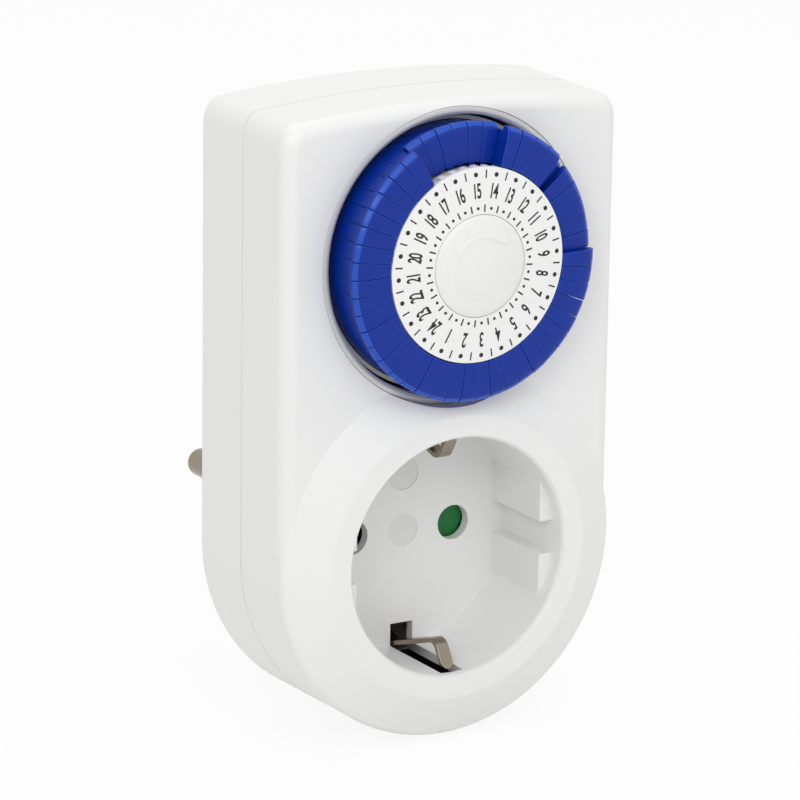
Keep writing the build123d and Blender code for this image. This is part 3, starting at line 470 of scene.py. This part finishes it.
# Lacquer with metal flakes: bright but soft, with no mirror in it. Its flakes are
# drawn 0.4 mm wide, because the real ones are too fine to show.
silver, tree = start_material("silver_metallic_lacquer")
place = add_node(tree, "ShaderNodeTexCoord")
flake = add_node(tree, "ShaderNodeTexNoise", {"Scale": 2500.0, "Detail": 1.0},
                 {"Vector": place.outputs["Object"]})
shine = add_node(tree, "ShaderNodeMapRange", {"To Min": 0.3, "To Max": 0.42},
                 {"Value": flake.outputs["Fac"]})
metal = add_node(tree, "ShaderNodeBsdfPrincipled",
                 {"Base Color": linear("#D6D6D3"), "Metallic": 0.15},
                 {"Roughness": shine.outputs["Result"]})
add_node(tree, "ShaderNodeOutputMaterial", None, {"Surface": metal.outputs[0]})
trim_ring.data.materials.append(silver)
smooth(trim_ring)
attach(trim_ring, "housing")
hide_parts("trim_ring")

# ---------------------------------------------------------------------------
# Segment tabs: forty-eight moulded blue tabs, half an hour each, that slide in
# and out on the dial drum. Each has a bevelled lip outside, a wall stepped in
# below it, a rib that rides between two drum teeth, and a leg for the switch.
# They sit with a little play, up to a tenth of a millimetre deeper than the first.

LABEL_Y = -54.8
TAB_COUNT = 48
TAB_STEP = 360 / TAB_COUNT
TAB_START = -30.74
TAB_SWEEP = TAB_STEP - 0.32
TAB_END = LABEL_Y + 10.3
TRAVEL = 2.9
HALF_WAY = 1.4
PLAY = 0.05


def moulded_blue(name, colour, rough):
    """Blue ABS: coloured through, with a satin gloss that drifts over 6 mm."""
    material, tree = start_material(name)
    place = add_node(tree, "ShaderNodeTexCoord")
    cloud = add_node(tree, "ShaderNodeTexNoise", {"Scale": 160.0, "Detail": 2.0},
                     {"Vector": place.outputs["Object"]})
    dull = add_node(tree, "ShaderNodeMapRange", {"To Min": rough - 0.06, "To Max": rough + 0.06},
                    {"Value": cloud.outputs["Fac"]})
    plastic = add_node(tree, "ShaderNodeBsdfPrincipled",
                       {"Base Color": linear(colour), "IOR": 1.36},
                       {"Roughness": dull.outputs["Result"]})
    add_node(tree, "ShaderNodeOutputMaterial", None, {"Surface": plastic.outputs[0]})
    return material


# A paler blue on the edge bevels and the sloped lip: a painted highlight along the edges that catch
# the light.
blue_abs = moulded_blue("moulded_blue_abs", "#002C94", 0.36)
blue_painted_highlight = moulded_blue("blue_abs_painted_highlight", "#1F4FBC", 0.32)
tab_bm = bmesh.new()
outline = [(15.75, LABEL_Y), (19.2, LABEL_Y), (20.2, LABEL_Y + 0.07), (20.9, LABEL_Y + 0.2),
           (21.4, LABEL_Y + 0.36), (22.0, LABEL_Y + 0.95), (22.0, LABEL_Y + 1.8),
           (21.2, LABEL_Y + 2.1), (21.2, TAB_END), (15.75, TAB_END)]
corners = [tab_bm.verts.new((r, y, 0)) for r, y in outline]
side_face = tab_bm.faces.new(corners)
bmesh.ops.spin(tab_bm, geom=[side_face], cent=(0, 0, 0), axis=(0, 1, 0),
               angle=math.radians(TAB_SWEEP), steps=4)
bmesh.ops.rotate(tab_bm, cent=(0, 0, 0), verts=tab_bm.verts,
                 matrix=Matrix.Rotation(math.radians(-TAB_SWEEP / 2), 3, "Y"))
bmesh.ops.recalc_face_normals(tab_bm, faces=tab_bm.faces)
# The sloped lip faces, and below them the edge bevels, take the paler blue: painted highlight.
for face in tab_bm.faces:
    if -0.9 < face.normal.y < -0.3:
        face.material_index = 1
sharp = [e for e in tab_bm.edges if len(e.link_faces) == 2 and e.calc_face_angle() > 0.5
         and min(v.co.y for v in e.verts) < LABEL_Y + 3]
bmesh.ops.bevel(tab_bm, geom=sharp, offset=0.07, segments=2, profile=0.5, affect="EDGES",
                material=1)
tab_master = solid("tab_master", tab_bm)
tab_master.data.materials.append(blue_abs)
tab_master.data.materials.append(blue_painted_highlight)
rib = block("rib", (15.05, LABEL_Y + 0.75, -0.48), (16.3, TAB_END - 0.01, 0.48))
carve(tab_master, rib, "UNION")
leg = block("leg", (17.5, TAB_END - 0.3, -0.75), (19.3, TAB_END + 4.2, 0.75), 0.1)
carve(tab_master, leg, "UNION")

# The first tab of each row, how many move together, and how far they are pushed in.
tab_rows = [(0, 2, TRAVEL), (2, 2, TRAVEL), (4, 2, TRAVEL), (6, 2, 0.0), (8, 2, 0.0),
            (10, 1, TRAVEL), (11, 1, HALF_WAY), (12, 2, HALF_WAY), (14, 2, HALF_WAY)]
tab_rows += [(first, 2, 0.0) for first in range(16, TAB_COUNT, 2)]
for first, count, pressed in tab_rows:
    row_bm = bmesh.new()
    for index in range(first, first + count):
        one = bmesh.new()
        one.from_mesh(tab_master.data)
        degrees = TAB_START + TAB_STEP * (index + 0.5) - 90
        bmesh.ops.rotate(one, cent=(0, 0, 0), verts=one.verts,
                         matrix=Matrix.Rotation(math.radians(degrees), 3, "Y"))
        play = PLAY * (1 + math.sin(2.4 * index))
        bmesh.ops.translate(one, vec=(0, (pressed + play) * MM, DIAL_Z * MM), verts=one.verts)
        spare = bpy.data.meshes.new("spare")
        one.to_mesh(spare)
        one.free()
        row_bm.from_mesh(spare)
        bpy.data.meshes.remove(spare)
    row_mesh = bpy.data.meshes.new("blue_tabs_%02d" % first)
    row_bm.to_mesh(row_mesh)
    row_bm.free()
    row_mesh.materials.append(blue_abs)
    row_mesh.materials.append(blue_painted_highlight)
    row = bpy.data.objects.new("blue_tabs_%02d" % first, row_mesh)
    scene.collection.objects.link(row)
    smooth(row, 28)
    node = "tabs_%02d" % first
    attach(row, node)
    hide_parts(node)
bpy.data.objects.remove(tab_master)

# ---------------------------------------------------------------------------
# Dial drum: the white moulded carrier under the label. Teeth on its wall stand
# between the tabs. Its floor has a window for each tab's leg.

TOOTH_END = LABEL_Y + 13.3
drum = turned("dial_drum", [(2.05, LABEL_Y - 0.15), (8.1, LABEL_Y - 0.15), (15.55, LABEL_Y + 0.4),
              (15.55, LABEL_Y + 0.7), (14.9, LABEL_Y + 0.7), (14.9, TOOTH_END), (21.3, TOOTH_END),
              (21.3, TOOTH_END - 3), (21.9, TOOTH_END - 3), (21.9, TOOTH_END + 1.5),
              (13.7, TOOTH_END + 1.5), (13.7, LABEL_Y + 1.6),
              (3.6, LABEL_Y + 1.05), (3.6, TOOTH_END + 1.5), (2.05, TOOTH_END + 1.5)],
              z=DIAL_Z, steps=192)


def dial_ring(name, size, place, shift):
    """One small box for each tab, in a ring on the dial, shifted by a share of a step."""
    bm = bmesh.new()
    for index in range(TAB_COUNT):
        degrees = math.radians(TAB_START + TAB_STEP * (index + shift) - 90)
        made = bmesh.ops.create_cube(bm, size=1.0)["verts"]
        bmesh.ops.scale(bm, vec=size, verts=made)
        bmesh.ops.translate(bm, vec=place, verts=made)
        bmesh.ops.rotate(bm, cent=(0, 0, 0), verts=made, matrix=Matrix.Rotation(degrees, 3, "Y"))
        bmesh.ops.translate(bm, vec=(0, 0, DIAL_Z), verts=made)
    return solid(name, bm)


windows = dial_ring("leg_windows", (2.1, 4.0, 1.8), (18.4, TOOTH_END + 0.75, 0), 0.5)
carve(drum, windows, "DIFFERENCE")
drum.data.materials.clear()
teeth = dial_ring("drum_teeth", (0.95, 1.8, 0.9), (15.06, LABEL_Y + 1.15, 0), 0)
for obj in (drum, teeth):
    obj.data.materials.append(white_abs)
    smooth(obj)
    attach(obj, "dial")
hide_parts("dial_carrier")

# ---------------------------------------------------------------------------
# Dial label: a thin white printed disc, slightly conical, with the hours, a
# dot or tick for each tab and a finer inner scale, all in black ink.

label = turned("dial_label", [(8.2, LABEL_Y - 0.55), (15.55, LABEL_Y, 0.06), (15.55, LABEL_Y + 0.4),
               (8.2, LABEL_Y - 0.15)], z=DIAL_Z, steps=192)
label_white = moulded_white("printed_label_white", "#F1F1F0", 0.42)
label.data.materials.append(label_white)
smooth(label)
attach(label, "dial")
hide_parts("dial_face")

LABEL_R = 15.55
LABEL_RISE = 0.55
LABEL_W = 7.35
SLOPE = math.atan(LABEL_RISE / LABEL_W)
INK = 0.015
print_bm = bmesh.new()


def lay_on_label(mesh, radius, degrees):
    """Lays a flat drawing, x right and y up, on the label at a clock place."""
    one = bmesh.new()
    one.from_mesh(mesh)
    bmesh.ops.rotate(one, cent=(0, 0, 0), verts=one.verts,
                     matrix=Matrix.Rotation(math.radians(90), 3, "X"))
    bmesh.ops.rotate(one, cent=(0, 0, 0), verts=one.verts, matrix=Matrix.Rotation(-SLOPE, 3, "X"))
    height = LABEL_Y - LABEL_RISE * (LABEL_R - radius) / LABEL_W - INK
    bmesh.ops.translate(one, vec=(0, height, radius), verts=one.verts)
    bmesh.ops.rotate(one, cent=(0, 0, 0), verts=one.verts,
                     matrix=Matrix.Rotation(math.radians(degrees), 3, "Y"))
    bmesh.ops.translate(one, vec=(0, 0, DIAL_Z), verts=one.verts)
    spare = bpy.data.meshes.new("spare")
    one.to_mesh(spare)
    one.free()
    print_bm.from_mesh(spare)
    bpy.data.meshes.remove(spare)


def flat_mark(width, height, round_mark=False):
    """A printed tick, or a printed dot."""
    one = bmesh.new()
    if round_mark:
        bmesh.ops.create_circle(one, cap_ends=True, segments=16, radius=width / 2)
    else:
        bmesh.ops.create_grid(one, x_segments=1, y_segments=1, size=0.5)
        bmesh.ops.scale(one, vec=(width, height, 1), verts=one.verts)
    mesh = bpy.data.meshes.new("mark")
    one.to_mesh(mesh)
    one.free()
    return mesh


dot = flat_mark(0.75, 0.75, True)
tick = flat_mark(0.24, 1.3)
small_dot = flat_mark(0.5, 0.5, True)
small_tick = flat_mark(0.26, 1.15)
DOT_START = -3.18
OUTER_R, HOUR_R, INNER_R = 14.43, 11.75, 9.15
for index in range(24):
    degrees = DOT_START + 2 * TAB_STEP * index
    lay_on_label(dot, OUTER_R, degrees)
    lay_on_label(tick, OUTER_R, degrees + TAB_STEP)
    lay_on_label(small_dot, INNER_R, degrees)
    lay_on_label(small_tick, INNER_R, degrees + TAB_STEP)
    words = bpy.data.curves.new("hour", "FONT")
    words.body = str((14 - index) % 24 + 1)
    words.size = 3.3
    words.align_x = "CENTER"
    words.align_y = "CENTER"
    words.space_character = 0.86
    words.offset = 0.07
    sign = bpy.data.objects.new("hour", words)
    scene.collection.objects.link(sign)
    bpy.context.view_layer.update()
    shown = sign.evaluated_get(bpy.context.evaluated_depsgraph_get())
    number = bpy.data.meshes.new_from_object(shown)
    number.transform(Matrix.Scale(0.54, 4, (1, 0, 0)))
    lay_on_label(number, HOUR_R, degrees)
    bpy.data.objects.remove(sign)
    bpy.data.curves.remove(words)
    bpy.data.meshes.remove(number)
bmesh.ops.recalc_face_normals(print_bm, faces=print_bm.faces)
for face in print_bm.faces:
    if face.normal.y > 0:
        face.normal_flip()
bmesh.ops.scale(print_bm, vec=(MM, MM, MM), verts=print_bm.verts)
print_mesh = bpy.data.meshes.new("dial_print")
print_bm.to_mesh(print_mesh)
print_bm.free()
dial_print = bpy.data.objects.new("dial_print", print_mesh)
scene.collection.objects.link(dial_print)
# Dull black ink, a little uneven where it took less well.
ink, tree = start_material("black_printing_ink")
place = add_node(tree, "ShaderNodeTexCoord")
patch = add_node(tree, "ShaderNodeTexNoise", {"Scale": 1500.0}, {"Vector": place.outputs["Object"]})
dull = add_node(tree, "ShaderNodeMapRange", {"To Min": 0.45, "To Max": 0.6},
                {"Value": patch.outputs["Fac"]})
black = add_node(tree, "ShaderNodeBsdfPrincipled", {"Base Color": linear("#17171A")},
                 {"Roughness": dull.outputs["Result"]})
add_node(tree, "ShaderNodeOutputMaterial", None, {"Surface": black.outputs[0]})
print_mesh.materials.append(ink)
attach(dial_print, "dial")

# ---------------------------------------------------------------------------
# Centre cap: a white moulded disc, slightly domed, that covers the axle. A
# raised curved arrow on it shows which way the dial turns.

CAP_EDGE = LABEL_Y - 0.9
CAP_R = 7.7
DOME = 1.1
DOME_R = (CAP_R ** 2 + DOME ** 2) / (2 * DOME)
ARROW_START, ARROW_SWEEP = 188, 210


def dome_y(radius):
    """How far forward the cap's dome stands at a radius."""
    return CAP_EDGE - DOME + DOME_R - math.sqrt(DOME_R ** 2 - radius ** 2)


cap_profile = [(0, dome_y(0))] + [(r, dome_y(r)) for r in (1.5, 3, 4.5, 6, 7.0, CAP_R)]
cap_profile += [(8.1, CAP_EDGE + 0.35), (8.1, LABEL_Y - 0.15), (0, LABEL_Y - 0.15)]
cap = turned("centre_cap", cap_profile, z=DIAL_Z, steps=128)
arrow_bm = bmesh.new()
band = []
for r, lift in ((4.6, 0.3), (4.65, -0.06), (4.8, -0.14), (5.15, -0.14), (5.3, -0.06),
                (5.35, 0.3)):
    band.append(arrow_bm.verts.new((r, dome_y(r) + lift, 0)))
band_face = arrow_bm.faces.new(band)
bmesh.ops.rotate(arrow_bm, cent=(0, 0, 0), verts=arrow_bm.verts,
                 matrix=Matrix.Rotation(math.radians(-90 - ARROW_START), 3, "Y"))
bmesh.ops.spin(arrow_bm, geom=[band_face], cent=(0, 0, 0), axis=(0, 1, 0),
               angle=math.radians(ARROW_SWEEP), steps=72)
bmesh.ops.translate(arrow_bm, vec=(0, 0, DIAL_Z), verts=arrow_bm.verts)
arrow = solid("arrow_band", arrow_bm)
head_bm = bmesh.new()
corner_list = []
for r, degrees in ((4.6, 19), (7.15, 41), (5.3, 52)):
    a = math.radians(degrees)
    corner_list.append((r * math.sin(a), r * math.cos(a), r))
tops = [head_bm.verts.new((x, dome_y(r) - 0.3, z)) for x, z, r in corner_list]
bottoms = [head_bm.verts.new((x, dome_y(r) + 0.3, z)) for x, z, r in corner_list]
head_bm.faces.new(tops)
bmesh.ops.bridge_loops(head_bm, edges=[head_bm.edges.new((bottoms[i], bottoms[(i + 1) % 3]))
                       for i in range(3)] + list(head_bm.faces[:][0].edges))
head_bm.faces.new(bottoms)
bmesh.ops.translate(head_bm, vec=(0, 0, DIAL_Z), verts=head_bm.verts)
head = solid("arrow_head", head_bm)
for obj in (cap, arrow, head):
    obj.data.materials.append(white_abs)
    smooth(obj)
    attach(obj, "dial")
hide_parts("centre_cap")

# ---------------------------------------------------------------------------
# Metal parts in reach: the earth bow with its two sprung clips in the socket,
# the earth strips on the plug and the pins, all nickel-plated and polished.

# Bright nickel, faintly warm, with rubbed patches about 4 mm wide.
nickel, tree = start_material("polished_nickel_plate")
place = add_node(tree, "ShaderNodeTexCoord")
rub = add_node(tree, "ShaderNodeTexNoise", {"Scale": 260.0, "Detail": 3.0},
               {"Vector": place.outputs["Object"]})
shine = add_node(tree, "ShaderNodeMapRange", {"To Min": 0.12, "To Max": 0.24},
                 {"Value": rub.outputs["Fac"]})
metal = add_node(tree, "ShaderNodeBsdfPrincipled",
                 {"Base Color": linear("#938A7B"), "Metallic": 1.0},
                 {"Roughness": shine.outputs["Result"]})
add_node(tree, "ShaderNodeOutputMaterial", None, {"Surface": metal.outputs[0]})


def bent_strip(name, path, width, thickness, edge=0.14):
    """A metal strip bent along (y, z, rounding) points, rounded at both ends."""
    bm = bmesh.new()
    line = [bm.verts.new((-width / 2, y, z)) for y, z, r in path]
    for a, b in zip(line, line[1:]):
        bm.edges.new((a, b))
    for vert, (y, z, r) in zip(line, path):
        if r:
            bmesh.ops.bevel(bm, geom=[vert], offset=r, segments=6, profile=0.5,
                            affect="VERTICES", material=-1)
    grown = bmesh.ops.extrude_edge_only(bm, edges=bm.edges[:])
    far = [g for g in grown["geom"] if isinstance(g, bmesh.types.BMVert)]
    bmesh.ops.translate(bm, vec=(width, 0, 0), verts=far)
    ends = [v for v in bm.verts if len(v.link_faces) == 1]
    bmesh.ops.bevel(bm, geom=ends, offset=width * 0.46, segments=6, profile=0.5,
                    affect="VERTICES", material=-1)
    bmesh.ops.recalc_face_normals(bm, faces=bm.faces)
    bmesh.ops.solidify(bm, geom=bm.faces[:], thickness=thickness)
    bmesh.ops.recalc_face_normals(bm, faces=bm.faces)
    sharp = [e for e in bm.edges if e.is_manifold and e.calc_face_angle() > 1.2]
    bmesh.ops.bevel(bm, geom=sharp, offset=edge, segments=2, profile=0.5, affect="EDGES",
                    material=-1)
    return solid(name, bm)


bow_path = [(-48.4, 19.3, 0), (-45.5, 14.6, 1.8), (-42.0, 15.75, 0), (-38.0, 17.07, 0)]
bow_path += [(-30.3, 19.6, 0.9), (-27.6, 19.0, 0.8)]
bow_path += [(y, -z, r) for y, z, r in reversed(bow_path)]
bow = bent_strip("earth_bow", bow_path, 3.4, 0.8)
leg_path = [(-3.5, 16.2, 0), (-9.0, 18.1, 1.5), (-17.0, 18.1, 1.5), (-21.2, 16.2, 1.0),
            (-26.8, 16.2, 0.6)]
leg_path += [(y, -z, r) for y, z, r in reversed(leg_path)]
# The bow narrows over four millimetres towards its bend.
for vert in bow.data.vertices:
    forward = min(max((-38.0 - vert.co.y / MM) / 4.0, 0.0), 1.0)
    vert.co.x *= 1 - 0.34 * forward
legs = bent_strip("plug_earth_strips", leg_path, 4.4, 0.8)
for side, name in ((-1, "plug_pin_left"), (1, "plug_pin_right")):
    pin = turned(name, [(0, -12.6), (1.8, -12.6), (1.8, 0), (2.4, 0), (2.4, 17.6, 0.4),
                 (1.9, 18.55, 0.35), (1.0, 19.0, 0.25), (0, 19.1)], side * PIN_X, 0, 48)
    pin.data.materials.append(nickel)
    smooth(pin, 40)
    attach(pin, "housing")
    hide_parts("plug_pins")
for obj, node in ((bow, "earth_bow"), (legs, "plug_earth_clips")):
    obj.data.materials.append(nickel)
    smooth(obj, 40)
    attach(obj, "housing")
    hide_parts(node)

# ---------------------------------------------------------------------------
# Works inside the housing: the shutter, the motor, its wheels, the switch and
# the bars. Each keeps its own shape and gets the finish of its real material.

finishes = {}


def works_finish(name, colour, metallic, rough, scale):
    """A plain moulded or rolled finish whose gloss drifts a little over the piece."""
    material, tree = start_material(name)
    place = add_node(tree, "ShaderNodeTexCoord")
    cloud = add_node(tree, "ShaderNodeTexNoise", {"Scale": scale, "Detail": 2.0},
                     {"Vector": place.outputs["Object"]})
    dull = add_node(tree, "ShaderNodeMapRange", {"To Min": rough - 0.05, "To Max": rough + 0.07},
                    {"Value": cloud.outputs["Fac"]})
    body = add_node(tree, "ShaderNodeBsdfPrincipled",
                    {"Base Color": linear(colour), "Metallic": metallic},
                    {"Roughness": dull.outputs["Result"]})
    add_node(tree, "ShaderNodeOutputMaterial", None, {"Surface": body.outputs[0]})
    return material


finishes["shutter_green"] = works_finish("moulded_green_polyamide", "#016E2E", 0.0, 0.42, 200)
finishes["bobbin_black"] = works_finish("black_polyamide", "#1A1A1B", 0.0, 0.5, 200)
finishes["gear_natural"] = works_finish("natural_acetal", "#E6E2D6", 0.0, 0.4, 200)
finishes["zinc_steel"] = works_finish("zinc_plated_steel", "#B4B8BC", 1.0, 0.35, 300)
finishes["spring_steel"] = works_finish("spring_steel", "#9A9C9E", 1.0, 0.3, 300)
finishes["brass"] = works_finish("rolled_brass", "#C9A35A", 1.0, 0.3, 300)
finishes["copper"] = works_finish("enamelled_copper_wire", "#9A4A22", 0.8, 0.35, 600)
finishes["magnet"] = works_finish("sintered_ferrite", "#3A3A3D", 0.1, 0.6, 400)
finishes["nickel"] = nickel
finishes["white_abs"] = white_abs
finishes["dial_white"] = label_white
finishes["silver_ring"] = silver
finishes["blue_tab"] = blue_abs
for part in frame["record"]["subparts"]:
    node = frame["nodes"][part["node"]]
    for holder in node.material_slots:
        holder.material = finishes[part["material_slot"]]

# ---------------------------------------------------------------------------
# Shutter spring: a thin steel strip bent to and fro, which stands on edge beside
# the shutter. In the real timer it folds flat against its frame when a plug pushes the shutter
# over; here it stays standing, fixed to the housing.

wave_path = [(19.0, -2.2, 0), (17.6, 1.7, 0.5), (16.1, -2.2, 0.5), (14.6, 1.7, 0.5),
             (13.25, -2.2, 0)]
spring = bent_strip("shutter_spring", wave_path, 0.9, 0.22, 0.05)
stand = Matrix.Translation((0, -30.8 * MM, 0)) @ Matrix.Rotation(math.pi / 2, 4, "Z")
spring.data.transform(stand)
spring.data.materials.append(finishes["spring_steel"])
smooth(spring, 40)
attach(spring, "housing")
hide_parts("shutter_spring")
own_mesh(spring)
